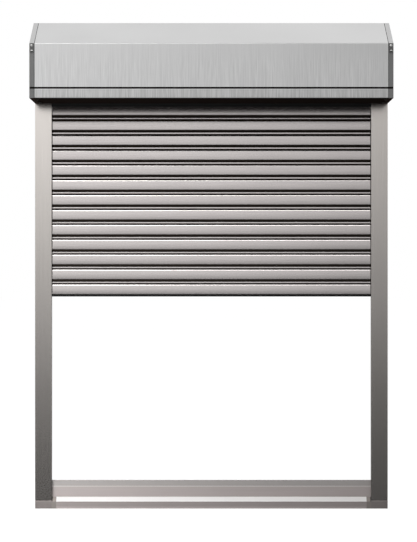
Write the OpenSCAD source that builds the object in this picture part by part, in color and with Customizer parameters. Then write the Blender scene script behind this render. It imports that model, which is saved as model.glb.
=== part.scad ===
// Exterior roller shutter with a bevelled 205 mm box, two guide rails, a sill profile
// and a half lowered curtain of interlocking slats on an octagonal winding shaft.
// Frame: +X to the right, -Y to the street side, +Z up. The curtain hangs in the plane
// y = 0, and z = 0 is the underside of the sill and of the two feet.

/* [Overall] */
// Width over both rails, and over the box
overall_w = 920; // [700:1:1400]
// Length of each guide rail
rail_h = 1036; // [900:1:1600]
// Height of the foot under each rail
foot_h = 21; // [15:0.5:40]
// Bevel of the foot's upper front edge
foot_bevel = 1.6; // [0.8:0.1:2]

/* [Box] */
// Height of the box
box_h = 205; // [195:1:240]
// Depth of the box
box_d = 205; // [195:1:240]
// Height of the upright front up to the bend
front_h = 138.5; // [120:0.5:150]
// Depth of the flat top behind the bevel
flat_d = 65; // [50:1:80]
// Thickness of the rolled sheet
sheet_t = 1.2; // [0.8:0.1:1.6]
// Inside radius of the sheet's bends, at its middle
bend_r = 1.4; // [1:0.1:1.5]
// Height of the seam's lower edge above the underside
seam_z = 23.4; // [18:0.1:35]
// Width of the seam between the hood and the inspection panel
seam_w = 4.7; // [2:0.1:6]
// Height of the turned up rear edge of the inspection panel
panel_lip = 11; // [8:0.5:16]
// Depth of the hood's turned down rear edge
hood_lip = 14; // [8:0.5:20]
// Width of the strip that an end cap shows beside the hood
cap_w = 12; // [10:0.5:16]
// Thickness of an end cap's side plate
cap_plate = 2.5; // [2:0.1:4]
// Wall of an end cap's spigot
cap_wall = 2.5; // [2:0.1:3.5]
// Depth of the spigot that the hood's end sits on
spigot = 10; // [7:0.5:14]
// Width of the shadow gap between the hood and an end cap
reveal = 1.2; // [0.6:0.1:2]
// Height of the lug plate on an end cap's front strip
lug_h = 24.5; // [24:0.5:32]
// Thickness of the lug plate
lug_t = 1; // [0.8:0.1:1.6]

/* [Guide rails] */
// Width of a rail as seen from the front
rail_w = 43; // [42:0.5:60]
// Depth of a rail
rail_d = 22; // [21.5:0.5:30]
// Wall of the rail profile
rail_t = 1.6; // [1.2:0.1:2]
// Width of the slot that the slats run in
slot_w = 13; // [12.6:0.1:15]
// Depth of the slot, up to the web
slot_depth = 30; // [27:0.5:32]
// Radius of a fixing hole in the rail's outer wall
fix_r = 2.75; // [2:0.05:3.5]
// Radius of the driver hole in the web
driver_r = 5; // [4:0.1:6]
// Height of the lowest fixing hole
fix_z0 = 150; // [80:1:200]
// Distance between fixing holes
fix_step = 260; // [200:1:260]

/* [Sill] */
// Height of the sill's front lip
sill_lip = 18.4; // [14:0.1:22]
// Height of the ledge's rear edge
sill_ledge = 29.7; // [26:0.1:34]
// Height of the small step in the upstand
sill_step = 57.6; // [50:0.1:65]
// Height of the sill's top
sill_h = 73.4; // [68:0.1:90]
// Depth of the ledge
ledge_d = 13; // [11:0.1:14]
// Depth of the small step
step_d = 1; // [0.6:0.1:1.4]
// Wall of the sill profile
sill_t = 1.8; // [1.4:0.1:2.2]
// Width of a sill cap
sill_cap_w = 12; // [8:0.5:16]

/* [Curtain] */
// Distance from slat to slat in the hanging curtain
pitch = 39; // [38.5:0.1:42]
// Height of a slat's face
face_h = 25; // [23:0.1:26]
// Radius of the slightly curved face, which stands upright at its lower edge
face_r = 250; // [220:5:300]
// Thickness of a slat
slat_t = 8; // [7.5:0.1:8.4]
// Wall of a slat
slat_wall = 1; // [0.8:0.05:1.2]
// Height of the groove above the face
groove_h = 3.4; // [2.4:0.1:3.8]
// Depth of the groove
groove_d = 1; // [0.6:0.1:1.4]
// Height of the shoulder above the groove
shoulder_h = 4; // [3.5:0.1:4.5]
// Thickness of the neck that hangs in the slat above
neck_t = 1.6; // [1.2:0.1:1.8]
// How far the hook's head stands out on each side of the neck
head_out = 1.5; // [1.2:0.1:1.6]
// Height of the hook's head
head_h = 1.6; // [1.2:0.1:2]
// Play between two slats, as they close up
slat_play = 2.2; // [1.5:0.1:2.5]
// How far a slat's end runs into the rail
slat_in = 24; // [18:0.5:26]
// How far the curtain hangs out of the box
curtain_drop = 497.3; // [470:0.1:520]
// Height of the rubber strip under the lowest slat
strip_h = 6.4; // [5:0.1:10]

/* [Winding shaft] */
// Distance across the flats of the shaft
shaft_af = 60; // [55:0.5:62]
// Wall of the shaft
shaft_t = 1.2; // [1:0.1:1.6]
// Distance of the shaft's axis in front of the curtain
shaft_y = 80; // [80:0.5:86]
// Height of the shaft's axis above the underside of the box
shaft_z = 90; // [88:0.5:95]
// Number of slats on the roll
wound_n = 11; // [8:1:11]
// Growth of the roll in one turn
wound_step = 15; // [14.5:0.1:16]
// Radius of the tube motor
motor_r = 22.5; // [20:0.5:24]
// Wall of the tube motor
motor_t = 4.5; // [3:0.25:6]
// Length of the tube motor
motor_l = 480; // [400:1:560]
// Radius of the idler pin, and of the bearing's bore
pin_r = 6; // [5:0.25:7]
// Outer radius of the bearing
bearing_r = 14; // [13.5:0.25:16]
// Width of the bearing
bearing_w = 8; // [7:0.5:9]
// Thickness of a bracket's plate
bracket_t = 4; // [3:0.25:5]

/* [Fits] */
// Clearance of a sliding or loose fit
fit = 0.3; // [0.2:0.05:0.4]
// Clearance of a seated fit
seat = 0.1; // [0.05:0.01:0.15]

/* [Hidden] */
$fn = 48;
hw = overall_w / 2;
clear = hw - rail_w;
yb = rail_d / 2;
yf = yb - box_d;
yt = yb - flat_d;
zb = foot_h + rail_h;
zt = zb + box_h;
zf = zb + front_h;
bev = atan2(zt - zf, yt - yf);
rim_t = sheet_t + fit + cap_wall;
hood_x = hw - cap_w - reveal;
seam_hi = seam_z + seam_w;
joggle = sheet_t + fit;
chamber = yb - rail_t;
lip = rail_t;
web_x = clear + slot_depth;
slat_x = clear + slat_in;
curtain_z = zb - curtain_drop;
slat_front = -slat_t / 2 - 0.25;
face_c = [face_r + slat_front, 0];
slat_back = face_c[0] - sqrt(pow(face_r - slat_t, 2) - pow(face_h, 2));
shoulder_z = face_h + groove_h;
neck_z = shoulder_z + shoulder_h;
neck_y = slat_front + slat_t / 2;
floor_t = 1.2;
pocket_h = floor_t + fit + head_h + slat_play + 1;
mouth = neck_t / 2 + 0.8;
ax_y = -shaft_y;
ax_z = zb + shaft_z;
pass_front = yb + sheet_t + 1.2;
tube_x = hw - cap_plate - bracket_t - bearing_w - 8;
rivet_x = hw - cap_w / 2;
rivet_z = zf - 5.5;
screw_z = zf - 19.5;
screw_r = 3;
bracket_w = 78;
bracket_hole = 31;
wound_r = shaft_af / 2 - slat_front + seat;
wound_a = 135;
seal_front = -slat_front + fit + 0.15;
seal_back = slat_back + fit + 0.15;

// Outline of the box seen from the side, drawn in by d all round
function box_pts(d) = [
  [yb - d, zb + d],
  [yf + d, zb + d],
  [yf + d, zf - d * (1 - sin(bev)) / cos(bev)],
  [yt + d * (1 - cos(bev)) / sin(bev), zt - d],
  [yb - d, zt - d]
];

function unit(v) = v / norm(v);
function perp(v) = [-v[1], v[0]];
function turned(v) = [for (i = [len(v) - 1:-1:0]) v[i]];

// A path's inner corner rounded with radius r in n steps
function corner(a, b, c, r, n) =
  let (
    u = unit(a - b), w = unit(c - b), half = acos(u * w) / 2,
    o = b + unit(u + w) * r / sin(half),
    s = b + u * r / tan(half) - o, e = b + w * r / tan(half) - o,
    a0 = atan2(s[1], s[0]), da = (atan2(e[1], e[0]) - a0 + 540) % 360 - 180
  ) [for (k = [0:n]) o + r * [cos(a0 + da * k / n), sin(a0 + da * k / n)]];
function bent(p, r, n = 4) = [
  for (i = [0:len(p) - 1])
    each (i == 0 || i == len(p) - 1) ? [p[i]] : corner(p[i - 1], p[i], p[i + 1], r, n)
];
// A path moved sideways by d
function side(p, d) = [
  for (i = [0:len(p) - 1])
    let (
      n0 = perp(unit(i > 0 ? p[i] - p[i - 1] : p[1] - p[0])),
      n1 = i < len(p) - 1 ? perp(unit(p[i + 1] - p[i])) : n0,
      m = unit(n0 + n1)
    ) p[i] + m * d / (m * n0)
];
function strip(p, t) = concat(side(p, t / 2), turned(side(p, -t / 2)));

// A section in the YZ plane, drawn out along X from x0 to x1
module along_x(x0, x1) {
  translate([x0, 0, 0])
    rotate([90, 0, 90])
      linear_extrude(x1 - x0)
        children();
}

// A sheet of thickness sheet_t, bent along a path in the YZ plane
module bent_sheet(path, half_x) {
  along_x(-half_x, half_x)
    polygon(strip(bent(path, bend_r), sheet_t));
}

// A cylinder along X from x0 to x1 on the shaft's axis
module on_axis(x0, x1, r, sides = 48) {
  translate([x0, ax_y, ax_z])
    rotate([0, 90, 0])
      rotate([0, 0, sides == 8 ? 22.5 : 0])
        cylinder(h = x1 - x0, r = r, $fn = sides);
}
function across(af) = af / 2 / cos(22.5);

module mirrored() {
  mirror([1, 0, 0]) children();
}
module both() {
  children();
  mirror([1, 0, 0]) children();
}

// Hood: upright front, bevel and flat top of one rolled sheet, stepped in at its lower edge
module hood_shell() {
  h = sheet_t / 2;
  color("#b9b9b7") {
    bent_sheet([
      [yf + h, zb + seam_hi],
      [yf + h, zf - h * (1 - sin(bev)) / cos(bev)],
      [yt + h * (1 - cos(bev)) / sin(bev), zt - h],
      [yb - h, zt - h],
      [yb - h, zt - hood_lip]
    ], hood_x);
    joggle_x = hw - cap_w - spigot - fit;
    along_x(-joggle_x, joggle_x)
      polygon([
        [yf + h, zb + seam_hi],
        [yf + h, zb + seam_hi + sheet_t],
        [yf + sheet_t + joggle, zb + seam_hi + sheet_t],
        [yf + sheet_t + joggle, zb + seam_z - 10],
        [yf + joggle, zb + seam_z - 10],
        [yf + joggle, zb + seam_hi]
      ]);
  }
}

// Holes for the screws that hold the inspection panel, on one side
module panel_screw_spots() {
  for (f = [0.25, 0.75])
    translate([hw - cap_w - spigot / 2, yf + f * (box_d - rail_d), zb])
      children();
}

// Inspection panel: front lip, underside and turned up rear edge
module revision_panel() {
  h = sheet_t / 2;
  color("#b4b4b2")
    difference() {
      bent_sheet([
        [yf + h, zb + seam_z],
        [yf + h, zb + h],
        [-yb - h, zb + h],
        [-yb - h, zb + panel_lip]
      ], hood_x);
      both()
        panel_screw_spots()
          translate([0, 0, -1])
            cylinder(h = sheet_t + 2, r = 1.7 + seat);
    }
}

// Rear sheet of the box, below the hood's turned down edge
module back_panel() {
  color("#a9a9a7")
    translate([-hood_x, yb - sheet_t, zb])
      cube([2 * hood_x, sheet_t, box_h - hood_lip - fit]);
}

// Axes of the bracket screws, on one side
module bracket_spots() {
  for (a = [-1, 1], b = [-1, 1])
    translate([hw, ax_y + a * bracket_hole, ax_z + b * bracket_hole])
      rotate([0, -90, 0])
        children();
}

// Axes of the two fasteners in an end cap's front strip, on one side
module front_spot(z) {
  translate([rivet_x, yf, z])
    rotate([-90, 0, 0])
      children();
}

// Cast end cap: side plate, rim beside the hood and spigot inside it
module end_cap() {
  color("#a4a4a2")
    difference() {
      union() {
        along_x(hw - cap_plate, hw)
          polygon(box_pts(0));
        along_x(hw - cap_w, hw - cap_plate)
          difference() {
            polygon(box_pts(0));
            polygon(box_pts(rim_t));
          }
        along_x(hw - cap_w - spigot, hw - cap_w)
          difference() {
            polygon(box_pts(sheet_t + fit));
            polygon(box_pts(rim_t));
          }
      }
      translate([0, -pass_front, zb - 1])
        cube([web_x, pass_front + yb - rim_t, rim_t + 2]);
      translate([hw - cap_w - 1, yf - 1, zb + seam_z])
        cube([cap_w + 2, joggle + 1, seam_w]);
      front_spot(rivet_z)
        translate([0, 0, -1])
          cylinder(h = rim_t + 2, r = 1.6 + seat);
      front_spot(screw_z)
        translate([0, 0, -1])
          cylinder(h = rim_t + 2, r = 1.6 + seat);
      panel_screw_spots()
        translate([0, 0, -1])
          cylinder(h = rim_t + 2, r = 1.7 + seat);
      bracket_spots()
        translate([0, 0, -1])
          cylinder(h = cap_plate + 2, r = 2 + seat);
    }
}
module end_cap_left() {
  mirrored() end_cap();
}
module end_cap_right() {
  end_cap();
}

// Lug plates under the two fasteners at the top of the end caps' front strips
module cap_lugs() {
  color("#5c5c5a")
    both()
      difference() {
        translate([hw - cap_w + 0.5, yf - lug_t, zf - 0.8 - lug_h])
          cube([cap_w - 1, lug_t, lug_h]);
        front_spot(rivet_z)
          translate([0, 0, -lug_t - 1])
            cylinder(h = lug_t + 2, r = 1.6 + seat);
        front_spot(screw_z)
          translate([0, 0, -lug_t - 1])
            cylinder(h = lug_t + 2, r = screw_r + fit);
      }
}

// Blind rivets through the lugs and the end caps' front strips
module cap_rivets() {
  color("#e4e4e2")
    both()
      front_spot(rivet_z)
        translate([0, 0, -lug_t])
          rotate_extrude() {
            intersection() {
              translate([0, 3.25]) circle(r = 4.5);
              translate([0, -1.25]) square([4, 1.25]);
            }
            translate([0, -0.5]) square([1.6, lug_t + rim_t + 1]);
          }
}

// Screws sunk in the lugs, below the rivets
module cap_screws() {
  color("#6a6a68")
    both()
      front_spot(screw_z)
        difference() {
          union() {
            translate([0, 0, 0.2 - lug_t])
              cylinder(h = lug_t - 0.2, r = screw_r);
            translate([0, 0, -0.2])
              cylinder(h = rim_t + 0.8, r = 1.6);
          }
          translate([-0.35, -2.2, -lug_t])
            cube([0.7, 4.4, 0.6]);
          translate([-2.2, -0.35, -lug_t])
            cube([4.4, 0.7, 0.6]);
        }
}

// Pan head screws under the inspection panel
module panel_screws() {
  color("#8a8a88")
    both()
      panel_screw_spots() {
        translate([0, 0, -1.6])
          cylinder(h = 1.6, r = 3.2);
        cylinder(h = rim_t + 2, r = 1.7);
      }
}

// Rubber strip at the outlet, clipped on the panel's turned up edge
module outlet_seal() {
  color("#1c1c1c")
    along_x(-clear + fit, clear - fit)
      difference() {
        polygon([
          [-yb - sheet_t - 2, zb + sheet_t + bend_r],
          [-yb - sheet_t - 2, zb + panel_lip + 2],
          [-yb + 2, zb + panel_lip + 2],
          [-yb + 2, zb],
          [-seal_front, zb - 8.5],
          [-yb, zb - 8.5],
          [-yb, zb + panel_lip + seat],
          [-yb - sheet_t - seat, zb + panel_lip + seat],
          [-yb - sheet_t - seat, zb + sheet_t + bend_r]
        ]);
      }
}

// Section of the right rail in the XY plane
module rail_section() {
  difference() {
    translate([clear, -yb]) square([rail_w, rail_d]);
    translate([clear + lip, -chamber]) square([slot_depth - lip, 2 * chamber]);
    translate([clear - 1, -slot_w / 2]) square([lip + 2, slot_w]);
    translate([web_x + rail_t, -chamber])
      square([rail_w - slot_depth - 2 * rail_t, 2 * chamber]);
  }
}

// Right guide rail, with fixing holes in its outer wall and driver holes in its web
module rail() {
  color("#a8a6a1")
    difference() {
      translate([0, 0, foot_h])
        linear_extrude(rail_h)
          rail_section();
      for (k = [0:3])
        translate([0, 0, fix_z0 + k * fix_step])
          rotate([0, 90, 0]) {
            translate([0, 0, hw - rail_t - 1])
              cylinder(h = rail_t + 2, r = fix_r);
            translate([0, 0, web_x - 1])
              cylinder(h = rail_t + 2, r = driver_r);
          }
    }
}
module rail_left() {
  mirrored() rail();
}
module rail_right() {
  rail();
}

// Glide strips behind the two lips of the right rail's slot
module rail_seals() {
  color("#222222")
    for (f = [-1, 1])
      mirror([0, f > 0 ? 1 : 0, 0])
        translate([0, 0, foot_h + 20])
          linear_extrude(rail_h - 20 - fit)
            polygon([
              [clear + lip + seat, -chamber + seat],
              [clear + lip + 6, -chamber + seat],
              [clear + lip + 6, -chamber + 1.8],
              [clear + lip + 3, -chamber + 1.8],
              [clear + lip + 3, -(f > 0 ? seal_back : seal_front)],
              [clear + fit, -(f > 0 ? seal_back : seal_front)],
              [clear + fit, -slot_w / 2 + seat],
              [clear + lip + seat, -slot_w / 2 + seat]
            ]);
}
module rail_seals_left() {
  mirrored() rail_seals();
}
module rail_seals_right() {
  rail_seals();
}

// Right inlet guide: funnel on the rail's top with a tongue in its slot
module inlet_guide() {
  x1 = web_x - fit;
  back = yb - rim_t - fit;
  wall = 2.4;
  color("#2a2a2a")
    difference() {
      union() {
        translate([clear + 1, -pass_front + sheet_t + 1.5, zb])
          cube([x1 - clear - 1, pass_front - sheet_t - 1.5 + back, 30]);
        translate([slat_x + 2, -chamber + fit, zb - 25])
          cube([x1 - slat_x - 2, chamber - fit + back, 26]);
      }
      translate([clear, -seal_front, zb - 1])
        cube([slat_x + 2 - clear, seal_front + back - (back - seal_back), 40]);
      along_x(clear, x1 - wall)
        polygon([
          [-seal_front + 1, zb + 8],
          [-seal_front + 1, zb + 40],
          [-yb, zb + 40],
          [-yb + 1.5, zb + 29]
        ]);
    }
}
module inlet_guide_left() {
  mirrored() inlet_guide();
}
module inlet_guide_right() {
  inlet_guide();
}

// Right foot: block under the rail with spigots into its two chambers
module foot() {
  color("#8d8b87") {
    along_x(clear, hw)
      polygon([
        [-yb, 0], [-yb, foot_h - foot_bevel], [-yb + foot_bevel, foot_h], [yb, foot_h], [yb, 0]
      ]);
    translate([web_x + rail_t + seat, -chamber + seat, foot_h])
      cube([rail_w - slot_depth - 2 * (rail_t + seat), 2 * (chamber - seat), 16]);
    translate([clear + lip + 8, -chamber + seat, foot_h])
      cube([slot_depth - lip - 8 - seat, 2 * (chamber - seat), 16]);
  }
}
module foot_left() {
  mirrored() foot();
}
module foot_right() {
  foot();
}

// Sill: outline and cavity seen from the side, and the spigot of a cap
ledge_y = -yb + ledge_d;
slope = atan2(sill_ledge - sill_lip, ledge_d);
module sill_outline() {
  polygon([
    [-yb, 0], [-yb, sill_lip], [ledge_y, sill_ledge], [ledge_y, sill_step],
    [ledge_y + step_d, sill_step], [ledge_y + step_d, sill_h], [yb, sill_h], [yb, 0]
  ]);
}
module sill_cavity(w) {
  q = w * (1 - sin(slope)) / cos(slope);
  polygon([
    [-yb + w, w], [-yb + w, sill_lip - q],
    [ledge_y + step_d + w, sill_ledge - q + step_d * tan(slope)],
    [ledge_y + step_d + w, sill_h - w], [yb - w, sill_h - w], [yb - w, w]
  ]);
}
module sill_profile() {
  color("#a6a4a0")
    difference() {
      along_x(-clear + seat, clear - seat)
        difference() {
          sill_outline();
          sill_cavity(sill_t);
        }
      both()
        translate([clear - sill_cap_w, -yb - 1, -1])
          cube([sill_cap_w, ledge_d + 1, sill_ledge + 2]);
    }
}
// Cap that closes the end of the ledge in front of the upstand
module sill_cap() {
  color("#9b9995") {
    along_x(clear - sill_cap_w + seat, clear)
      polygon([[-yb, 0], [-yb, sill_lip], [ledge_y - seat, sill_ledge - seat], [ledge_y - seat, 0]]);
    along_x(clear - sill_cap_w - 8, clear - sill_cap_w + 1)
      intersection() {
        sill_cavity(sill_t + seat);
        translate([-yb, 0])
          square([ledge_d - seat, sill_ledge]);
      }
  }
}
module sill_cap_left() {
  mirrored() sill_cap();
}
module sill_cap_right() {
  sill_cap();
}

// Bearing side, on the left: drawn on the right and mirrored
boss_x = tube_x + 6;
module plate_with_holes() {
  difference() {
    translate([hw - cap_plate - bracket_t, ax_y - bracket_w / 2, ax_z - bracket_w / 2])
      cube([bracket_t, bracket_w, bracket_w]);
    bracket_spots()
      cylinder(h = cap_plate + bracket_t + 1, r = 2 + seat);
  }
}
module bearing_bracket() {
  color("#7f8488")
    mirrored()
      difference() {
        union() {
          plate_with_holes();
          on_axis(boss_x, hw - cap_plate - bracket_t, bearing_r + 4);
        }
        on_axis(boss_x - 1, boss_x + bearing_w + 0.5, bearing_r + seat);
        on_axis(boss_x, hw - cap_plate - bracket_t / 2, pin_r + 2);
      }
}
ball_r = (bearing_r - pin_r) / 4;
race_r = (bearing_r + pin_r) / 2;
module ring(r0, r1) {
  mirrored()
    translate([boss_x + 0.4, ax_y, ax_z])
      rotate([0, 90, 0])
        rotate_extrude()
          difference() {
            translate([r0, 0]) square([r1 - r0, bearing_w]);
            translate([race_r, bearing_w / 2]) circle(r = ball_r + seat);
          }
}
module bearing_outer_ring() {
  color("#c8cacc") ring(race_r + ball_r * 0.6, bearing_r);
}
module bearing_inner_ring() {
  color("#c8cacc") ring(pin_r + seat, race_r - ball_r * 0.6);
}
module bearing_balls() {
  color("#d8dadc")
    mirrored()
      for (k = [0:8])
        translate([boss_x + 0.4 + bearing_w / 2, ax_y, ax_z])
          rotate([k * 40, 0, 0])
            translate([0, 0, race_r])
              sphere(r = ball_r);
}

// Motor side, on the right
module motor_bracket() {
  color("#7f8488") plate_with_holes();
}
module motor_head() {
  color("#2f3133")
    difference() {
      on_axis(tube_x + 1, hw - cap_plate - bracket_t, motor_r + 3);
      on_axis(tube_x, tube_x + 5, motor_r + seat);
    }
}
motor_end = tube_x + 5 - motor_l;
module motor_tube() {
  color("#d0d0ce")
    difference() {
      on_axis(motor_end, tube_x + 5, motor_r);
      on_axis(motor_end + 24, tube_x - 10, motor_r - motor_t);
      on_axis(motor_end - 1, motor_end + 22, pin_r + fit);
    }
}
module bracket_screws() {
  color("#55585a")
    both()
      bracket_spots() {
        translate([0, 0, cap_plate + bracket_t])
          cylinder(h = 2.4, r = 3.6);
        translate([0, 0, fit])
          cylinder(h = cap_plate + bracket_t - fit, r = 2);
      }
}

// Winding shaft and what turns with it
module shaft_tube() {
  color("#c2c4c4")
    difference() {
      on_axis(-tube_x, tube_x, across(shaft_af), 8);
      on_axis(-tube_x - 1, tube_x + 1, across(shaft_af - 2 * shaft_t), 8);
    }
}
plug_af = shaft_af - 2 * shaft_t - 2 * seat;
module idler_plug() {
  color("#3a3c3e")
    mirrored()
      difference() {
        union() {
          on_axis(tube_x - 55, tube_x, across(plug_af), 8);
          on_axis(tube_x - 1, boss_x + bearing_w + 1.5, pin_r);
        }
        on_axis(tube_x - 60, tube_x - 6, plug_af / 2 - 4);
      }
}
module crown_adapter() {
  color("#3a3c3e")
    difference() {
      on_axis(tube_x - 22, tube_x, across(plug_af), 8);
      on_axis(tube_x - 23, tube_x + 1, motor_r + fit);
    }
}
module drive_wheel() {
  color("#3a3c3e")
    difference() {
      union() {
        on_axis(motor_end - 26, motor_end - 2, across(plug_af), 8);
        on_axis(motor_end - 3, motor_end + 20, pin_r);
      }
      for (k = [0:7])
        translate([motor_end - 30, ax_y, ax_z])
          rotate([k * 45, 0, 0])
            translate([0, 0, (plug_af / 2 + pin_r) / 2])
              rotate([0, 90, 0])
                cylinder(h = 40, r = (plug_af / 2 - pin_r) / 4);
    }
}

// Section of a slat, with its lower edge at z = 0
module slat_arc(d0, d1, z0, z1) {
  intersection() {
    difference() {
      translate(face_c) circle(r = face_r - d0, $fn = 180);
      translate(face_c) circle(r = face_r - d1, $fn = 180);
    }
    translate([-12, z0]) square([24, z1 - z0]);
  }
}
// Front of the shoulder and of the groove
shoulder_y = slat_front + 1.7;
shoulder_back = slat_back - 0.6;
module slat_body() {
  difference() {
    union() {
      slat_arc(0, slat_t, 0, face_h);
      translate([shoulder_y + groove_d, face_h - slat_wall])
        square([shoulder_back - shoulder_y - groove_d, groove_h + slat_wall]);
      translate([shoulder_y, shoulder_z])
        square([shoulder_back - shoulder_y, shoulder_h]);
    }
    slat_arc(slat_wall, slat_t - slat_wall, floor_t, pocket_h);
    slat_arc(slat_wall, slat_t - slat_wall, pocket_h + slat_wall, face_h - slat_wall);
    translate([shoulder_y + groove_d + slat_wall, face_h])
      square([shoulder_back - shoulder_y - groove_d - 2 * slat_wall, neck_z - face_h - slat_wall]);
    translate([neck_y - mouth, -1])
      square([2 * mouth, floor_t + 2]);
  }
}
// Neck and hook, whose head rests in the slat above
module slat_hook() {
  translate([neck_y - neck_t / 2, neck_z - slat_wall])
    square([neck_t, pitch + floor_t + fit - neck_z + slat_wall + head_h / 2]);
  translate([neck_y - neck_t / 2 - head_out, pitch + floor_t + fit])
    square([neck_t + 2 * head_out, head_h]);
}
module slat(k) {
  color("#a39b95")
    translate([0, 0, curtain_z + k * pitch])
      along_x(-slat_x, slat_x) {
        slat_body();
        slat_hook();
      }
}
module slat_01() { slat(1); }
module slat_02() { slat(2); }
module slat_03() { slat(3); }
module slat_04() { slat(4); }
module slat_05() { slat(5); }
module slat_06() { slat(6); }
module slat_07() { slat(7); }
module slat_08() { slat(8); }
module slat_09() { slat(9); }
module slat_10() { slat(10); }
module slat_11() { slat(11); }
module slat_12() { slat(12); }
module slat_13() { slat(13); }
module slat_14() { slat(14); }
module bottom_bar() { slat(0); }

// Rubber strip whose head sits in the lowest slat's pocket
module bottom_seal() {
  color("#161616")
    translate([0, 0, curtain_z])
      along_x(-slat_x + fit, slat_x - fit)
        difference() {
          union() {
            translate([neck_y - neck_t / 2, -1])
              square([neck_t, floor_t + fit + 2]);
            translate([neck_y - neck_t / 2 - head_out, floor_t + seat])
              square([neck_t + 2 * head_out, head_h]);
            translate([slat_front + 0.8, -strip_h])
              square([slat_t - 1.6, strip_h - seat]);
          }
          translate([slat_front + slat_t / 2, -strip_h / 2])
            circle(r = strip_h / 2 - 1.6);
        }
}

// The roll: slats placed along a spiral round the shaft and linked by their necks
function turn_at(i) = i == 0 ? 0 : turn_at(i - 1) + 2 * atan(pitch / 2 / radius_at(i - 1));
function radius_at(i) = wound_r + wound_step * turn_at(i) / 360;
mid_z = pitch / 2;
function on_roll(i, y, z) =
  let (a = wound_a - turn_at(i), r = radius_at(i))
    [ax_y + cos(a) * (r + y) - sin(a) * (z - mid_z), ax_z + sin(a) * (r + y) + cos(a) * (z - mid_z)];
module wound_slats() {
  color("#a39b95")
    along_x(-slat_x, slat_x) {
      for (i = [0:wound_n - 1])
        translate([ax_y, ax_z])
          rotate(wound_a - turn_at(i))
            translate([radius_at(i), -mid_z])
              slat_body();
      for (i = [1:wound_n - 1])
        polygon([
          on_roll(i, neck_y - neck_t / 2, neck_z - slat_wall / 2),
          on_roll(i, neck_y + neck_t / 2, neck_z - slat_wall / 2),
          on_roll(i - 1, neck_y + neck_t / 2, floor_t + 1),
          on_roll(i - 1, neck_y - neck_t / 2, floor_t + 1)
        ]);
    }
}

hood_shell();
revision_panel();
back_panel();
end_cap_left();
end_cap_right();
cap_lugs();
cap_rivets();
cap_screws();
panel_screws();
outlet_seal();
rail_left();
rail_right();
rail_seals_left();
rail_seals_right();
inlet_guide_left();
inlet_guide_right();
foot_left();
foot_right();
sill_profile();
sill_cap_left();
sill_cap_right();
bearing_bracket();
bearing_outer_ring();
bearing_balls();
bearing_inner_ring();
motor_bracket();
motor_head();
motor_tube();
bracket_screws();
shaft_tube();
idler_plug();
crown_adapter();
drive_wheel();
wound_slats();
slat_14();
slat_13();
slat_12();
slat_11();
slat_10();
slat_09();
slat_08();
slat_07();
slat_06();
slat_05();
slat_04();
slat_03();
slat_02();
slat_01();
bottom_bar();
bottom_seal();
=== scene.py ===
"""Looks of an exterior roller shutter: smooth slats, finishes, camera and a white studio."""

import math

import bpy
import numpy as np
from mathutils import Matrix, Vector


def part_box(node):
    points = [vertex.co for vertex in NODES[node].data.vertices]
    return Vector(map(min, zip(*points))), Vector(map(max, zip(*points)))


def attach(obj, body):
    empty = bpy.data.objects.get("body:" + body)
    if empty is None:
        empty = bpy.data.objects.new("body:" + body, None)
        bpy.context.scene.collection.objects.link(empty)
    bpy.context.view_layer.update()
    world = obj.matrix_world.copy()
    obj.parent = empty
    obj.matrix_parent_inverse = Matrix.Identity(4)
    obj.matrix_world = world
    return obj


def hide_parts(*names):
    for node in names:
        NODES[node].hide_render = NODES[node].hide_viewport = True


bl_info = {
    "name": "Roller Shutter Looks",
    "version": (1, 0, 0),
    "blender": (4, 5, 0),
    "location": "3D View > Sidebar > Shutter",
    "description": "Dresses a roller shutter with its slats, finishes and a white studio",
    "category": "Object",
}

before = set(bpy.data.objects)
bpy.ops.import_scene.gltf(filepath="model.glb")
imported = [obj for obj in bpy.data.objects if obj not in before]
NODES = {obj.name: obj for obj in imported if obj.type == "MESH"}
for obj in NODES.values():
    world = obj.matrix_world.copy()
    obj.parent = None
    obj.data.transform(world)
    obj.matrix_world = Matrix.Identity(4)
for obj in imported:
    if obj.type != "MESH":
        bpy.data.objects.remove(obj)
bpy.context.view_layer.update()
MM = 0.001
SLATS = ["slat_%02d" % k for k in range(1, 15)]
SHARP_DEGREES = 28.0

# Tones that stand for deep shade
BOX_BLACK = (0.0075, 0.0055, 0.0048)
SLAT_BLACK = (0.0125, 0.0098, 0.0082)
GAP_BLACK = (0.01, 0.01, 0.01)

# Lengths on the part that finishes follow
PANEL_LIP = 22.0 * MM
BOX_FRONT = 113.0 * MM
SEAM_GAP = 4.75 * MM
SEAM_DEPTH = 3.2 * MM
SEAM_EDGE = 0.1 * MM
SILL_LIP = (18.0 * MM, 18.6 * MM)
SILL_STEP = 57.6 * MM
BUMP_DEPTH = 0.2 * MM

# Ranges of a surface normal's part, each with the mask at its two ends; FACES_MINUS is the front
# for Y and the underside for Z
FACES_MINUS = (-0.9, -0.5, 1.0, 0.0)
# LOOKS_UP picks the faces that get painted light: the sill's ledge and the foot's bevel
LOOKS_UP = (0.3, 0.6, 0.0, 1.0)

# Range of noise values that carries a finish from one end of its variation to the other
NOISE = (0.3, 0.7)

# Camera: sensor along the picture's longer side; that side, focal length and shift in pixels
SENSOR_MM = 36.0
PICTURE_PX = 542.0
FOCAL_PX = 2200.0
SHIFT_PX = -2.9

# Ground: half width, front and rear end, and how far it lies below the part
GROUND_HALF, GROUND_FRONT, GROUND_REAR = 30.0, -12.0, 40.0
GROUND_DROP = 0.4 * MM

# Studio that metal mirrors: two values of a direction's part and the strengths there
HORIZON = (-0.1, 0.13, 0.0, 1.12)
FLOOR = (-0.25, -0.17, 0.55, 0.0)
CEILING = (0.3, 0.6, 1.0, 0.25)
RIGHT = (-0.02, 0.11, 1.0, 0.44)
FAR_RIGHT = (0.3, 0.55, 0.0, 0.5)
BEHIND = (0.0, 0.3, 0.0, 1.0)
WALL = (0.3, 0.7, 0.6, 1.0)
SOFT_LIGHT = 0.18

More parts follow.
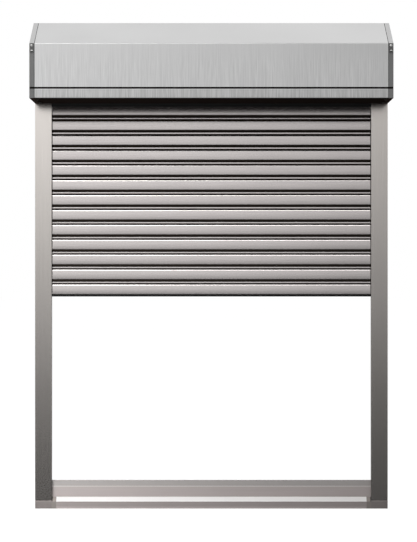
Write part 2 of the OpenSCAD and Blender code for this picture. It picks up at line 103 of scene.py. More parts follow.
# Lamps: name, place, aim, width, height, watts, mirrored by metal, spread in degrees
LAMPS = (
    ("key_softbox", (-2.0, -3.0, 3.4), (0.0, 0.0, 0.55), 3.6, 1.8, 80.0, True, 180.0),
    ("slat_strip", (0.2, -0.81, 1.43), (0.2, 0.0, 0.55), 2.0, 0.4, 0.45, True, 40.0),
    ("low_left", (-0.62, -0.9, 0.35), (-0.35, 0.0, 0.05), 0.5, 0.4, 13.0, False, 180.0),
)


# Sizes and colours

def length(label, about, default, low, high):
    return bpy.props.FloatProperty(
        name=label, description=about, default=default, min=low, max=high, unit="LENGTH")


def tint(label, about, default):
    return bpy.props.FloatVectorProperty(
        name=label, description=about, subtype="COLOR", size=3, min=0.0, max=1.0, default=default)


class ShutterSizes(bpy.types.PropertyGroup):
    """Sizes that the dressed slats and the camera are made from"""

    face_radius: length("Face radius", "Radius of a slat's curved front", 0.25, 0.22, 0.3)
    face_height: length("Face height", "Height of a slat's curved front", 0.025, 0.023, 0.026)
    slat_depth: length(
        "Slat thickness", "Thickness of a slat from front to back", 0.008, 0.0075, 0.0084)
    pitch: length(
        "Slat pitch", "Distance from slat to slat in the hanging curtain", 0.039, 0.0385, 0.042)
    edge_radius: length("Edge radius", "Rounding of a slat's drawn edges", 0.0004, 0.0002, 0.0006)
    camera_distance: length(
        "Camera distance", "Distance of the camera from the front of the rails", 5.74, 2.0, 12.0)
    camera_height: length(
        "Camera height", "Height of the camera above the sill's underside", 0.620, 0.1, 2.0)


class ShutterColours(bpy.types.PropertyGroup):
    """Colours of the finishes"""

    hood: tint("Hood", "Brushed sheet of the box", (0.7, 0.7, 0.7))
    cap: tint("End caps", "Cast metal of the end caps", (0.22, 0.22, 0.22))
    rail: tint("Rails", "Satin metal of the rails", (0.88, 0.83, 0.79))
    sill: tint("Sill", "Satin metal of the sill", (0.335, 0.3, 0.292))
    slat: tint("Slats", "Warm grey metal of the slats", (0.622, 0.584, 0.575))


# Surfaces worked out with numpy

def rounded(corners, radii, steps=4):
    """Closed outline whose corners are arcs: each corner's arc touches both its edges at
    radius / tan(half the corner's angle) from the corner, and never takes over 45% of an edge."""
    p = np.asarray(corners, float)
    r = np.broadcast_to(np.asarray(radii, float), (len(p),))
    a, c = np.roll(p, 1, 0) - p, np.roll(p, -1, 0) - p
    la, lc = np.linalg.norm(a, axis=1), np.linalg.norm(c, axis=1)
    u, w = a / la[:, None], c / lc[:, None]
    half = np.arccos(np.clip((u * w).sum(1), -0.999999, 0.999999)) / 2
    d = np.minimum(r / np.tan(half), 0.45 * np.minimum(la, lc))
    bis = (u + w) / np.linalg.norm(u + w, axis=1)[:, None]
    o = p + bis * (d / np.cos(half))[:, None]
    s, e = p + u * d[:, None] - o, p + w * d[:, None] - o
    a0 = np.arctan2(s[:, 1], s[:, 0])
    da = (np.arctan2(e[:, 1], e[:, 0]) - a0 + np.pi) % (2 * np.pi) - np.pi
    ang = a0[:, None] + da[:, None] * np.linspace(0, 1, steps + 1)
    radius = (d * np.tan(half))[:, None, None]
    pts = o[:, None, :] + radius * np.stack([np.cos(ang), np.sin(ang)], -1)
    pts = pts.reshape(-1, 2)
    return pts[np.linalg.norm(pts - np.roll(pts, 1, 0), axis=1) > 1e-6]


def drawn_bar(name, outline, low, high):
    """Mesh of a closed YZ outline carried straight along X from low to high: two rings of points,
    a quad between each pair of neighbours, and one face on each end. Edges steeper than
    SHARP_DEGREES stay sharp."""
    n = len(outline)
    y, z = outline[:, 0], outline[:, 1]
    area = np.sum(y * np.roll(z, -1) - np.roll(y, -1) * z)
    outline = outline if area > 0 else outline[::-1]
    co = np.zeros((2 * n, 3))
    co[:, 1:] = np.tile(outline, (2, 1))
    co[:n, 0], co[n:, 0] = low, high
    i = np.arange(n)
    j = (i + 1) % n
    quads = np.stack([i, j, j + n, i + n], 1)
    ends = [i[::-1].tolist(), (i + n).tolist()]
    mesh = bpy.data.meshes.new(name)
    mesh.from_pydata(co.tolist(), [], quads.tolist() + ends)
    mesh.shade_smooth()
    mesh.set_sharp_from_angle(angle=math.radians(SHARP_DEGREES))
    mesh.update()
    obj = bpy.data.objects.new(name, mesh)
    bpy.context.scene.collection.objects.link(obj)
    return obj


def slat_front(sizes):
    """Foremost Y of a slat, a quarter of a millimetre before half its thickness."""
    return -sizes.slat_depth / 2 - 0.25 * MM


def face_arc(sizes, depth, z0, z1, count):
    """Points of a slat's curved wall from height z0 to z1: a circle about a point behind the
    slat's lower edge, drawn in by depth."""
    z = np.linspace(z0, z1, count)
    r = sizes.face_radius - depth
    y = slat_front(sizes) + sizes.face_radius - np.sqrt(r * r - z ** 2)
    return np.stack([y, z], 1)


def slat_outline(sizes):
    """Section of a slat in the YZ plane, from its lower front edge round: curved face, brow that
    leans back and rounds over, groove, shoulder, neck and hook, back wall, and the open pocket
    that the next hook hangs in."""
    wall, floor, neck, pocket = 1.0 * MM, 1.2 * MM, 0.8 * MM, 6.3 * MM
    hook_reach, hook_height, hook_play = 1.5 * MM, 1.6 * MM, 0.3 * MM
    brow_height, facet, brow_radius, lean = 2.4 * MM, 1.6 * MM, 0.9 * MM, math.radians(24.0)
    groove, shoulder_lay = 1.0 * MM, 0.18 * MM
    h, t, edge = sizes.face_height, sizes.slat_depth, sizes.edge_radius
    front = slat_front(sizes)
    mid, mouth = front + t / 2, neck + 0.8 * MM
    shoulder, low, high = front + 1.7 * MM, h + 3.4 * MM, h + 6.9 * MM
    rear = face_arc(sizes, t, h, h, 1)[0, 0] - 0.6 * MM
    seat = sizes.pitch + floor + hook_play
    crown, hook = seat + hook_height, neck + hook_reach
    turn = np.linspace(lean, np.pi / 2, 7)
    arc = face_arc(sizes, 0, 0, h - brow_height, 25)
    brow = np.stack([math.cos(lean) - np.cos(turn), np.sin(turn) - math.sin(lean)], 1) * brow_radius
    brow += arc[-1] + np.array([math.tan(lean), 1.0]) * facet
    steps = [
        (shoulder + groove, h), (shoulder + groove, low), (shoulder, low),
        (shoulder + shoulder_lay, high), (mid - neck, high), (mid - neck, seat),
        (mid - hook, seat), (mid - hook, crown), (mid + hook, crown), (mid + hook, seat),
        (mid + neck, seat), (mid + neck, high), (rear, high), (rear, h)]
    rear_arc = face_arc(sizes, t, h, 0, 13)
    points = np.concatenate([
        arc, brow, steps, rear_arc, [(mid + mouth, 0), (mid + mouth, floor)],
        face_arc(sizes, t - wall, floor, pocket, 5), face_arc(sizes, wall, pocket, floor, 5),
        [(mid - mouth, floor), (mid - mouth, 0)]])
    first_step = len(arc) + len(brow)
    first_rear = first_step + len(steps)
    radii = np.zeros(len(points))
    radii[0] = 2.5 * edge
    radii[first_step:first_rear] = 0.3 * edge
    radii[[first_rear, first_rear + len(rear_arc) - 1]] = edge
    return rounded(points, radii)


# Shader groups

def new_group(name, sockets_in, sockets_out):
    """Empty shader group with named sockets; returns it with its input and output nodes."""
    group = bpy.data.node_groups.new(name, "ShaderNodeTree")
    for label, kind, default in sockets_in:
        item = group.interface.new_socket(name=label, in_out="INPUT", socket_type=kind)
        item.default_value = default
    for label, kind in sockets_out:
        group.interface.new_socket(name=label, in_out="OUTPUT", socket_type=kind)
    return group, group.nodes.new("NodeGroupInput"), group.nodes.new("NodeGroupOutput")


def streak_group():
    """Brush marks: noise on Object coordinates squeezed across and stretched along the brush,
    in two widths. Mask is 0 to 1 about 0.5."""
    name = "Brush Streaks"
    if name in bpy.data.node_groups:
        return bpy.data.node_groups[name]
    g, gin, gout = new_group(
        name, [("Frequency", "NodeSocketVector", (1.0, 1.0, 1.0)),
               ("Contrast", "NodeSocketFloat", 1.0)],
        [("Mask", "NodeSocketFloat")])
    coord = g.nodes.new("ShaderNodeTexCoord")
    mul = g.nodes.new("ShaderNodeVectorMath")
    mul.operation = "MULTIPLY"
    g.links.new(coord.outputs["Object"], mul.inputs[0])
    g.links.new(gin.outputs["Frequency"], mul.inputs[1])
    values = []
    for scale, detail in ((1.0, 2.0), (3.1, 1.0)):
        noise = g.nodes.new("ShaderNodeTexNoise")
        noise.inputs["Scale"].default_value = scale
        noise.inputs["Detail"].default_value = detail
        g.links.new(mul.outputs[0], noise.inputs["Vector"])
        values.append(noise.outputs["Fac"])
    centred = math_node(g, "SUBTRACT", plus(g, *values), 1.0)
    stretched = times(g, centred, gin.outputs["Contrast"])
    g.links.new(math_node(g, "ADD", stretched, 0.5, True), gout.inputs["Mask"])
    return g


def grain_group():
    """Fine even grain of anodised or cast metal and of moulded plastic, and wider clouds, both
    from noise on Object coordinates; Mask and Clouds are 0 to 1 about 0.5."""
    name = "Fine Grain"
    if name in bpy.data.node_groups:
        return bpy.data.node_groups[name]
    g, gin, gout = new_group(
        name, [("Scale", "NodeSocketFloat", 900.0), ("Blotch", "NodeSocketFloat", 6.0)],
        [("Mask", "NodeSocketFloat"), ("Clouds", "NodeSocketFloat")])
    coord = g.nodes.new("ShaderNodeTexCoord")
    for label, out, detail in (("Scale", "Mask", 2.0), ("Blotch", "Clouds", 4.0)):
        noise = g.nodes.new("ShaderNodeTexNoise")
        noise.inputs["Detail"].default_value = detail
        g.links.new(coord.outputs["Object"], noise.inputs["Vector"])
        g.links.new(gin.outputs[label], noise.inputs["Scale"])
        g.links.new(noise.outputs["Fac"], gout.inputs[out])
    return g


def place_group(tree, group, **values):
    """Outputs of a group set in a tree with these input values."""
    node = tree.nodes.new("ShaderNodeGroup")
    node.node_tree = group
    for label, value in values.items():
        node.inputs[label].default_value = value
    return node.outputs


# Nodes that materials share

def math_node(tree, op, a, b=None, clamp=False):
    """Maths on one or two values, each an output or a plain number."""
    node = tree.nodes.new("ShaderNodeMath")
    node.operation, node.use_clamp = op, clamp
    for k, v in enumerate((a, b)):
        if v is None:
            continue
        if isinstance(v, (int, float)):
            node.inputs[k].default_value = v
        else:
            tree.links.new(v, node.inputs[k])
    return node.outputs[0]


def plus(tree, a, b):
    return math_node(tree, "ADD", a, b)


def times(tree, a, b):
    return math_node(tree, "MULTIPLY", a, b)


def largest(tree, a, b):
    return math_node(tree, "MAXIMUM", a, b)


def size_of(tree, value):
    return math_node(tree, "ABSOLUTE", value)


def opposite(tree, mask):
    """1 where mask is 0, and 0 where it is 1."""
    return math_node(tree, "SUBTRACT", 1.0, mask)


def within(tree, value, low, high):
    """1 where value lies between low and high."""
    return times(tree, math_node(tree, "GREATER_THAN", value, low),
                 math_node(tree, "LESS_THAN", value, high))


def span(tree, value, low, high, to_low, to_high):
    """Value carried from low..high to to_low..to_high, smoothly and clamped."""
    node = tree.nodes.new("ShaderNodeMapRange")
    node.interpolation_type = "SMOOTHSTEP"
    for k, v in zip((1, 2, 3, 4), (low, high, to_low, to_high)):
        node.inputs[k].default_value = v
    tree.links.new(value, node.inputs[0])
    return node.outputs[0]


def mix_colour(tree, factor, a, b):
    """Mixes a with b by a factor output; each is a colour output or a plain colour."""
    mix = tree.nodes.new("ShaderNodeMix")
    mix.data_type = "RGBA"
    tree.links.new(factor, mix.inputs["Factor"])
    for label, colour in (("A", a), ("B", b)):
        if isinstance(colour, tuple):
            mix.inputs[label].default_value = (*colour, 1.0)
        else:
            tree.links.new(colour, mix.inputs[label])
    return mix.outputs["Result"]


def scaled(colour, k):
    return tuple(min(1.0, c * k) for c in colour)


def varied(tree, mask, colour, dark, light):
    """Colour that goes from dark to light times itself as mask goes from 0 to 1."""
    return mix_colour(tree, mask, scaled(colour, dark), scaled(colour, light))


def blank_material(name, metallic, roughness):
    mat = bpy.data.materials.new(name)
    mat.use_nodes = True
    tree = mat.node_tree
    bsdf = tree.nodes["Principled BSDF"]
    bsdf.inputs["Metallic"].default_value = metallic
    bsdf.inputs["Roughness"].default_value = roughness
    return mat, tree, bsdf


def paint(tree, bsdf, colour):
    tree.links.new(colour, bsdf.inputs["Base Color"])


def roughen(tree, bsdf, noise, low, high):
    """Roughness that follows a noise output from low to high."""
    tree.links.new(span(tree, noise, *NOISE, low, high), bsdf.inputs["Roughness"])


def bump(tree, bsdf, height, strength):
    node = tree.nodes.new("ShaderNodeBump")
    node.inputs["Strength"].default_value = strength
    node.inputs["Distance"].default_value = BUMP_DEPTH
    tree.links.new(height, node.inputs["Height"])
    tree.links.new(node.outputs["Normal"], bsdf.inputs["Normal"])


def dull(tree, bsdf, mask):
    """Where mask is 1 the surface lies in deep shade and is bare of metal, with no gloss left."""
    tree.links.new(opposite(tree, mask), bsdf.inputs["Metallic"])
    bsdf.inputs["Specular IOR Level"].default_value = 0.0


def parts(tree, node_type, output):
    """X, Y and Z outputs of a node's vector output."""
    node = tree.nodes.new(node_type)
    sep = tree.nodes.new("ShaderNodeSeparateXYZ")
    tree.links.new(node.outputs[output], sep.inputs[0])
    return sep.outputs


def normal_parts(tree):
    return parts(tree, "ShaderNodeNewGeometry", "Normal")


def object_parts(tree):
    return parts(tree, "ShaderNodeTexCoord", "Object")


def seam_shadow(tree):
    """1 in the open seam between hood and inspection panel, from the front face inwards."""
    low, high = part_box("revision_panel")
    place = object_parts(tree)
    tall = within(tree, place["Z"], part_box("hood_shell")[0].z - SEAM_EDGE, high.z + SEAM_GAP)
    deep = within(tree, place["Y"], low.y + SEAM_EDGE, low.y + SEAM_DEPTH)
    return times(tree, tall, deep)


# Materials

def hood_brushed(colour):
    """Brushed sheet: streaks from top to bottom that grow stronger down the upright front and are
    strongest on the panel's lip, calmer on the bevel; a painted highlight along the bend between
    front and bevel; and painted shade that makes the underside and the seam nearly black."""
    mat, tree, bsdf = blank_material("hood_brushed", 1.0, 0.38)
    streak = place_group(tree, streak_group(), Frequency=(520.0, 9.0, 8.0), Contrast=0.9)
    grain = place_group(tree, grain_group(), Scale=700.0, Blotch=3.0)
    normal, height = normal_parts(tree), object_parts(tree)["Z"]
    lip_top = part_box("revision_panel")[0].z + PANEL_LIP
    bend = lip_top + BOX_FRONT
    lip = times(tree, span(tree, normal["Y"], *FACES_MINUS),
                span(tree, height, lip_top - 1.0 * MM, lip_top, 1.0, 0.0))
    upright = span(tree, size_of(tree, normal["Y"]), 0.75, 0.97, 0.12, 1.0)
    worn = largest(tree, span(tree, height, bend - 62.0 * MM, bend - 8.0 * MM, 1.55, 0.45),
                   times(tree, lip, 4.2))
    centred = math_node(tree, "SUBTRACT", streak["Mask"], 0.5)
    marks = times(tree, times(tree, centred, worn), upright)
    mask = math_node(tree, "ADD", marks, 0.5, True)
    base = varied(tree, mask, colour, 0.86, 1.14)
    # Painted highlight: the bend between front and bevel is lighter
    bend_highlight = times(tree, span(tree, normal["Z"], 0.06, 0.2, 0.0, 0.9),
                 span(tree, normal["Z"], 0.7, 0.86, 1.0, 0.0))
    base = mix_colour(tree, bend_highlight, base, scaled(colour, 1.38))
    base = mix_colour(tree, times(tree, lip, 0.22), base, scaled(colour, 0.35))
    # Painted shade: nearly black on the underside and in the seam
    under = largest(tree, span(tree, normal["Z"], *FACES_MINUS), seam_shadow(tree))
    paint(tree, bsdf, mix_colour(tree, under, base, BOX_BLACK))
    dull(tree, bsdf, under)
    roughen(tree, bsdf, grain["Clouds"], 0.34, 0.42)
    bump(tree, bsdf, mask, 0.10)
    return mat


def cast_grey(colour):
    """Cast metal with a fine grain; painted light makes the faces that look up lighter, and painted
    shade makes it nearly black below, in the seam and on the spigot inside the hood."""
    mat, tree, bsdf = blank_material("cast_grey", 1.0, 0.45)
    grain = place_group(tree, grain_group(), Scale=1100.0, Blotch=14.0)
    normal, place = normal_parts(tree), object_parts(tree)
    base = varied(tree, grain["Clouds"], colour, 0.86, 1.1)
    # Painted light: faces that look up are lighter
    up = span(tree, normal["Z"], 0.2, 0.8, 0.0, 1.0)
    base = mix_colour(tree, up, base, (0.64, 0.64, 0.64))
    # Painted shade: faces that look down are nearly black
    under = span(tree, normal["Z"], -0.8, -0.4, 1.0, 0.0)
    base = mix_colour(tree, under, base, scaled(BOX_BLACK, 2.2))
    # Painted shade: nearly black in the seam and on the spigot inside the hood
    panel_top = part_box("revision_panel")[1].z - 0.05 * MM
    gap = times(tree, math_node(tree, "GREATER_THAN", place["Z"], panel_top), seam_shadow(tree))
    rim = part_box("end_cap_right")[1].x - 11.98 * MM
    spigot = math_node(tree, "LESS_THAN", size_of(tree, place["X"]), rim)
    gap = largest(tree, gap, spigot)
    paint(tree, bsdf, mix_colour(tree, gap, base, BOX_BLACK))
    dull(tree, bsdf, largest(tree, gap, under))
    roughen(tree, bsdf, grain["Mask"], 0.4, 0.52)
    bump(tree, bsdf, grain["Mask"], 0.12)
    return mat


def satin_metal(name, colour, roughness, frequency, recess=False):
    """Satin profile: faint draw lines along the profile and fine grain. With recess, painted shade
    makes the walls that lie deep between two slats, and the ends beside the rails, black."""
    mat, tree, bsdf = blank_material(name, 1.0, roughness)
    streak = place_group(tree, streak_group(), Frequency=frequency, Contrast=1.0)
    grain = place_group(tree, grain_group(), Scale=900.0, Blotch=5.0)
    tone = plus(tree, times(tree, streak["Mask"], 0.6), times(tree, grain["Clouds"], 0.4))
    base = varied(tree, tone, colour, 0.90, 1.10)
    if recess:
        # Painted shade on the walls deep between slats, and painted shadow of the rails on the slat
        # ends
        place = object_parts(tree)
        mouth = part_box("rail_right")[0].x
        side = span(tree, size_of(tree, place["X"]), mouth - 3.0 * MM, mouth - 1.2 * MM, 0.0, 0.85)
        deep = largest(tree, within(tree, place["Y"], -2.3 * MM, 2.6 * MM), side)
        base = mix_colour(tree, deep, base, SLAT_BLACK)
        dull(tree, bsdf, deep)
    paint(tree, bsdf, base)
    roughen(tree, bsdf, grain["Mask"], roughness - 0.02, roughness + 0.03)
    bump(tree, bsdf, tone, 0.005)
    return mat


def sill_satin(colour):
    """Sill: drawn satin metal with faint lines along it, a darker lip, painted light that makes the
    ledge bright, a painted highlight along the fine step of the upstand and a greyer tone above it."""
    mat, tree, bsdf = blank_material("sill_satin", 0.4, 0.5)
    height = object_parts(tree)["Z"]
    streak = place_group(tree, streak_group(), Frequency=(4.0, 300.0, 500.0), Contrast=1.0)
    base = varied(tree, streak["Mask"], colour, 0.92, 1.08)
    lip = times(tree, span(tree, height, 2.0 * MM, 7.0 * MM, 0.0, 1.0),
                span(tree, height, *SILL_LIP, 1.0, 0.0))
    base = mix_colour(tree, lip, base, scaled(colour, 0.74))
    above = span(tree, height, SILL_STEP, SILL_STEP + 0.4 * MM, 0.0, 1.0)
    greyer = scaled((colour[0] * 0.95, colour[1], colour[2]), 0.96)
    base = mix_colour(tree, above, base, greyer)
    # Painted highlight along the fine step of the upstand
    line = times(tree, span(tree, height, SILL_STEP - 1.4 * MM, SILL_STEP - 0.6 * MM, 0.0, 0.5),
                 span(tree, height, SILL_STEP + 0.2 * MM, SILL_STEP + 0.6 * MM, 1.0, 0.0))
    base = mix_colour(tree, line, base, (0.72, 0.70, 0.69))
    # Painted light: the ledge that looks up is bright
    ledge = span(tree, normal_parts(tree)["Z"], *LOOKS_UP)
    paint(tree, bsdf, mix_colour(tree, ledge, base, (0.86, 0.85, 0.84)))
    roughen(tree, bsdf, streak["Mask"], 0.45, 0.55)
    bump(tree, bsdf, streak["Mask"], 0.06)
    return mat


def moulded(tree):
    """Grain of moulded plastic."""
    return place_group(tree, grain_group(), Scale=1400.0, Blotch=30.0)


def plain_plastic(name, colour, roughness, specular=0.5):
    """Moulded plastic or rubber: fine grain in roughness and bump, slight clouds in colour."""
    mat, tree, bsdf = blank_material(name, 0.0, roughness)
    bsdf.inputs["Specular IOR Level"].default_value = specular
    grain = moulded(tree)
    paint(tree, bsdf, varied(tree, grain["Clouds"], colour, 0.8, 1.2))
    roughen(tree, bsdf, grain["Mask"], roughness - 0.08, roughness + 0.08)
    bump(tree, bsdf, grain["Mask"], 0.15)
    return mat


def bright_metal(name, colour, roughness):
    """Bare steel of fasteners, bearing and shaft: fine grain and faint clouds."""
    mat, tree, bsdf = blank_material(name, 1.0, roughness)
    grain = place_group(tree, grain_group(), Scale=1600.0, Blotch=60.0)
    paint(tree, bsdf, varied(tree, grain["Clouds"], colour, 0.85, 1.1))
    roughen(tree, bsdf, grain["Mask"], roughness - 0.05, roughness + 0.07)
    return mat


def sunk_screw(colour):
    """Screw in a sunk hole: lit above its middle, in the hole's shade below it."""
    mat, tree, bsdf = blank_material("sunk_screw", 1.0, 0.35)
    low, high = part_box("cap_screws")
    mid = (low.z + high.z) / 2
    lit = span(tree, object_parts(tree)["Z"], mid - 0.4 * MM, mid + 0.6 * MM, 0.0, 1.0)
    paint(tree, bsdf, mix_colour(tree, lit, GAP_BLACK, colour))
    dull(tree, bsdf, opposite(tree, lit))
    return mat


def sill_end(colour):
    """Moulded end of the sill: lighter above its front, with a dark line where it meets the sill
    and painted shade that makes a black gap beside the rail."""
    mat, tree, bsdf = blank_material("sill_end", 0.0, 0.5)
    low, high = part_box("sill_cap_left")
    inner, outer = -high.x, -low.x
    place = object_parts(tree)
    base = varied(tree, moulded(tree)["Clouds"], colour, 0.85, 1.15)
    above = span(tree, place["Z"], *SILL_LIP, 0.0, 1.0)
    base = mix_colour(tree, above, base, scaled(colour, 1.7))
    across = size_of(tree, place["X"])
    line = span(tree, across, inner + 1.6 * MM, inner + 2.4 * MM, 0.6, 0.0)
    # Painted shade: a black gap beside the rail
    gap = times(tree, span(tree, across, outer - 2.4 * MM, outer - 1.6 * MM, 0.0, 0.95), above)
    paint(tree, bsdf, mix_colour(tree, largest(tree, line, gap), base, GAP_BLACK))
    return mat


def foot_grey(colour):
    """Moulded foot: fine grain, with a painted highlight along the bevel under the rail."""
    mat, tree, bsdf = blank_material("foot_grey", 0.0, 0.5)
    grain = moulded(tree)
    base = varied(tree, grain["Clouds"], colour, 0.8, 1.2)
    # Painted highlight on the bevel that looks up
    bevel = span(tree, normal_parts(tree)["Z"], *LOOKS_UP)
    paint(tree, bsdf, mix_colour(tree, bevel, base, scaled(colour, 2.4)))
    roughen(tree, bsdf, grain["Mask"], 0.42, 0.58)
    bump(tree, bsdf, grain["Mask"], 0.15)
    return mat


def dress(names, mat):
    """Gives CAD nodes a finish."""
    for name in names:
        mesh = NODES[name].data
        mesh.materials.clear()
        mesh.materials.append(mat)


# Operators

class SHUTTER_OT_slats(bpy.types.Operator):
    """Draw the slats of the hanging curtain with smooth faces and rounded edges"""
    bl_idname = "shutter.slats"
    bl_label = "Slats"

    def execute(self, context):
        sizes, colours = context.scene.shutter_sizes, context.scene.shutter_colours
        look = (tuple(colours.slat), 0.2, (7.0, 60.0, 420.0))
        finish = satin_metal("slat_satin", *look, True)
        outline = slat_outline(sizes)
        for name in SLATS + ["bottom_bar"]:
            low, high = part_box(name)
            piece = drawn_bar(name + "_drawn", outline + [0.0, low.z], low.x, high.x)
            piece.data.materials.append(finish)
            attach(piece, "bottom" if name == "bottom_bar" else name)
            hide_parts(name)
        dress(["wound_slats"], satin_metal("roll_satin", *look))
        return {"FINISHED"}


class SHUTTER_OT_box(bpy.types.Operator):
    """Finish the box: hood, inspection panel, rear sheet, end caps, fasteners and outlet strip"""
    bl_idname = "shutter.box"
    bl_label = "Box"

    def execute(self, context):
        colours = context.scene.shutter_colours
        dress(["hood_shell", "revision_panel", "back_panel"], hood_brushed(tuple(colours.hood)))
        dress(["end_cap_left", "end_cap_right"], cast_grey(tuple(colours.cap)))
        dress(["cap_rivets"], bright_metal("bright_rivet", (0.62, 0.62, 0.615), 0.3))
        dress(["cap_screws"], sunk_screw((0.9, 0.9, 0.89)))
        # Painted shade: the panel screws are nearly black, like the shaded underside they sit in
        dress(["panel_screws"], bright_metal("underside_shade_screw", (0.02, 0.02, 0.02), 0.5))
        dress(["cap_lugs"], bright_metal("lug_metal", (0.15, 0.15, 0.15), 0.45))
        dress(["outlet_seal"], plain_plastic("outlet_rubber", (0.008, 0.008, 0.008), 0.8, 0.1))
        return {"FINISHED"}


class SHUTTER_OT_rails(bpy.types.Operator):
    """Finish the guide rails, their glide strips, inlet guides and feet"""
    bl_idname = "shutter.rails"
    bl_label = "Rails"

    def execute(self, context):
        colours = context.scene.shutter_colours
        dress(["rail_left", "rail_right"],
              satin_metal("rail_satin", tuple(colours.rail), 0.17, (500.0, 60.0, 3.0)))
        dress(["rail_seals_left", "rail_seals_right"],
              plain_plastic("glide_black", (0.015, 0.015, 0.015), 0.6))
        dress(["inlet_guide_left", "inlet_guide_right"],
              plain_plastic("guide_black", (0.02, 0.02, 0.02), 0.5))
        dress(["foot_left", "foot_right"], foot_grey((0.12, 0.107, 0.103)))
        return {"FINISHED"}


class SHUTTER_OT_sill(bpy.types.Operator):
    """Finish the sill profile and its caps"""
    bl_idname = "shutter.sill"
    bl_label = "Sill"

    def execute(self, context):
        colours = context.scene.shutter_colours
        dress(["sill_profile"], sill_satin(tuple(colours.sill)))
        dress(["sill_cap_left", "sill_cap_right"], sill_end((0.139, 0.125, 0.116)))
        return {"FINISHED"}


class SHUTTER_OT_drive(bpy.types.Operator):
    """Finish the winding shaft, bearing, motor and the rubber strip under the curtain"""
    bl_idname = "shutter.drive"
    bl_label = "Drive"

    def execute(self, context):
        dress(["shaft_tube", "bearing_bracket", "motor_bracket", "bracket_screws"],
              bright_metal("zinc_plated", (0.55, 0.57, 0.58), 0.35))
        dress(["bearing_outer_ring", "bearing_inner_ring", "bearing_balls"],
              bright_metal("bearing_steel", (0.75, 0.76, 0.77), 0.15))
        dress(["motor_tube"], bright_metal("motor_steel", (0.7, 0.7, 0.69), 0.3))
        dress(["motor_head", "idler_plug", "crown_adapter", "drive_wheel"],
              plain_plastic("drive_black", (0.03, 0.03, 0.03), 0.45))
        dress(["bottom_seal"], plain_plastic("bottom_rubber", (0.008, 0.008, 0.008), 0.8, 0.1))
        return {"FINISHED"}


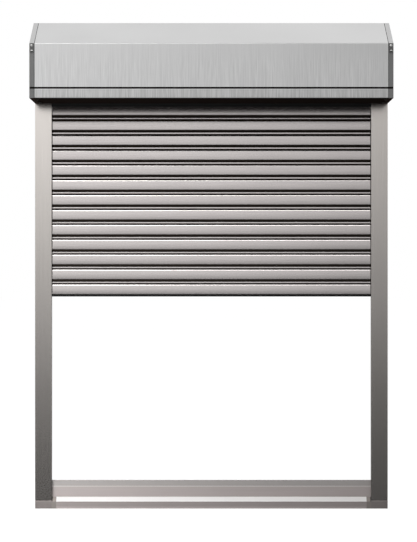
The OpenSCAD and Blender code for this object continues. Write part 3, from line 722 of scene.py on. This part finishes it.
class SHUTTER_OT_stage(bpy.types.Operator):
    """Set up the camera, the white ground, the studio surround and the lamps"""
    bl_idname = "shutter.stage"
    bl_label = "Stage"

    def execute(self, context):
        scene = context.scene
        scene.view_settings.view_transform = "Standard"
        self.camera(scene)
        self.ground(scene)
        self.surround(scene)
        for values in LAMPS:
            self.lamp(scene, *values)
        return {"FINISHED"}

    def camera(self, scene):
        """Level camera in front of the shutter."""
        sizes = scene.shutter_sizes
        lens = bpy.data.cameras.new("photo_camera")
        lens.sensor_width, lens.lens = SENSOR_MM, SENSOR_MM * FOCAL_PX / PICTURE_PX
        lens.shift_x = SHIFT_PX / PICTURE_PX
        lens.clip_end = 50.0
        camera = bpy.data.objects.new("photo_camera", lens)
        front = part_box("rail_left")[0].y
        camera.location = (0.0, front - sizes.camera_distance, sizes.camera_height)
        camera.rotation_euler = (math.radians(90.0), 0.0, 0.0)
        scene.collection.objects.link(camera)
        scene.camera = camera

    def ground(self, scene):
        """White ground: for the camera it glows and takes a faint shadow, and for light that
        bounces on it, it is plain matt."""
        mesh = bpy.data.meshes.new("ground")
        corners = [(x, y, -GROUND_DROP) for x, y in (
            (-GROUND_HALF, GROUND_FRONT), (GROUND_HALF, GROUND_FRONT),
            (GROUND_HALF, GROUND_REAR), (-GROUND_HALF, GROUND_REAR))]
        mesh.from_pydata(corners, [], [[0, 1, 2, 3]])
        obj = bpy.data.objects.new("ground", mesh)
        scene.collection.objects.link(obj)
        mat = bpy.data.materials.new("white_ground")
        mat.use_nodes = True
        tree = mat.node_tree
        tree.nodes.clear()
        path, out, glow, pale, matt, both, mix = (tree.nodes.new("ShaderNode" + kind) for kind in (
            "LightPath", "OutputMaterial", "Emission", "BsdfDiffuse", "BsdfDiffuse", "AddShader",
            "MixShader"))
        glow.inputs["Color"].default_value = (1.0, 1.0, 1.0, 1.0)
        glow.inputs["Strength"].default_value = 0.94
        pale.inputs["Color"].default_value = (0.35, 0.35, 0.35, 1.0)
        matt.inputs["Color"].default_value = (0.8, 0.8, 0.8, 1.0)
        looked_at = largest(tree, path.outputs["Is Camera Ray"], path.outputs["Is Glossy Ray"])
        looked_at = largest(tree, looked_at, path.outputs["Is Transmission Ray"])
        tree.links.new(glow.outputs[0], both.inputs[0])
        tree.links.new(pale.outputs[0], both.inputs[1])
        tree.links.new(looked_at, mix.inputs[0])
        tree.links.new(matt.outputs[0], mix.inputs[1])
        tree.links.new(both.outputs[0], mix.inputs[2])
        tree.links.new(mix.outputs[0], out.inputs["Surface"])
        mesh.materials.append(mat)
        obj.visible_glossy = False

    def surround(self, scene):
        """Pale behind the object and white above it there; in front of it a studio that is bright
        above the horizon, dim just below it and overhead, grey on the floor and dimmer to the
        right, which the metal mirrors."""
        world = bpy.data.worlds.new("studio")
        scene.world = world
        world.use_nodes = True
        tree = world.node_tree
        tree.nodes.clear()
        path, back, out = (tree.nodes.new("ShaderNode" + kind) for kind in (
            "LightPath", "Background", "OutputWorld"))
        way = parts(tree, "ShaderNodeTexCoord", "Generated")
        rise = plus(tree, span(tree, way["Z"], *HORIZON), span(tree, way["Z"], *FLOOR))
        rise = times(tree, rise, span(tree, way["Z"], *CEILING))
        side = plus(tree, span(tree, way["X"], *RIGHT), span(tree, way["X"], *FAR_RIGHT))
        behind = span(tree, way["Y"], *BEHIND)
        front = times(tree, times(tree, rise, side), opposite(tree, behind))
        studio = plus(tree, front, times(tree, behind, span(tree, way["Z"], *WALL)))
        mirrored = path.outputs["Is Glossy Ray"]
        soft = times(tree, opposite(tree, mirrored), SOFT_LIGHT)
        lit = plus(tree, times(tree, mirrored, studio), soft)
        plain = largest(tree, path.outputs["Is Camera Ray"], path.outputs["Is Transmission Ray"])
        strength = plus(tree, times(tree, lit, opposite(tree, plain)), plain)
        back.inputs["Color"].default_value = (1.0, 1.0, 1.0, 1.0)
        tree.links.new(strength, back.inputs["Strength"])
        tree.links.new(back.outputs[0], out.inputs["Surface"])

    def lamp(self, scene, name, place, aim, width, height, power, mirrored, spread):
        """Softbox turned towards its aim; a small spread is a grid in front of it."""
        light = bpy.data.lights.new(name, "AREA")
        light.shape, light.size, light.size_y, light.energy = "RECTANGLE", width, height, power
        light.spread = math.radians(spread)
        obj = bpy.data.objects.new(name, light)
        obj.location = place
        away = np.array(place) - np.array(aim)
        turn = math.atan2(away[1], away[0]) + math.pi / 2
        tilt = math.acos(away[2] / np.linalg.norm(away))
        obj.rotation_euler = (tilt, 0.0, turn)
        obj.visible_camera = False
        obj.visible_glossy = mirrored
        scene.collection.objects.link(obj)


class SHUTTER_PT_looks(bpy.types.Panel):
    """Lists the steps that dress the shutter"""
    bl_idname = "SHUTTER_PT_looks"
    bl_label = "Shutter Looks"
    bl_space_type = "VIEW_3D"
    bl_region_type = "UI"
    bl_category = "Shutter"

    def draw(self, context):
        for cls in STEPS:
            self.layout.operator(cls.bl_idname)
        for group in (context.scene.shutter_sizes, context.scene.shutter_colours):
            for key in group.__annotations__:
                self.layout.prop(group, key)


STEPS = (SHUTTER_OT_slats, SHUTTER_OT_box, SHUTTER_OT_rails, SHUTTER_OT_sill, SHUTTER_OT_drive,
         SHUTTER_OT_stage)
CLASSES = (ShutterSizes, ShutterColours) + STEPS + (SHUTTER_PT_looks,)


def register():
    for cls in CLASSES:
        bpy.utils.register_class(cls)
    bpy.types.Scene.shutter_sizes = bpy.props.PointerProperty(type=ShutterSizes)
    bpy.types.Scene.shutter_colours = bpy.props.PointerProperty(type=ShutterColours)


def unregister():
    del bpy.types.Scene.shutter_sizes
    del bpy.types.Scene.shutter_colours
    for cls in reversed(CLASSES):
        bpy.utils.unregister_class(cls)


def main():
    register()
    bpy.ops.shutter.slats()
    bpy.ops.shutter.box()
    bpy.ops.shutter.rails()
    bpy.ops.shutter.sill()
    bpy.ops.shutter.drive()
    bpy.ops.shutter.stage()


if __name__ == "__main__":
    main()
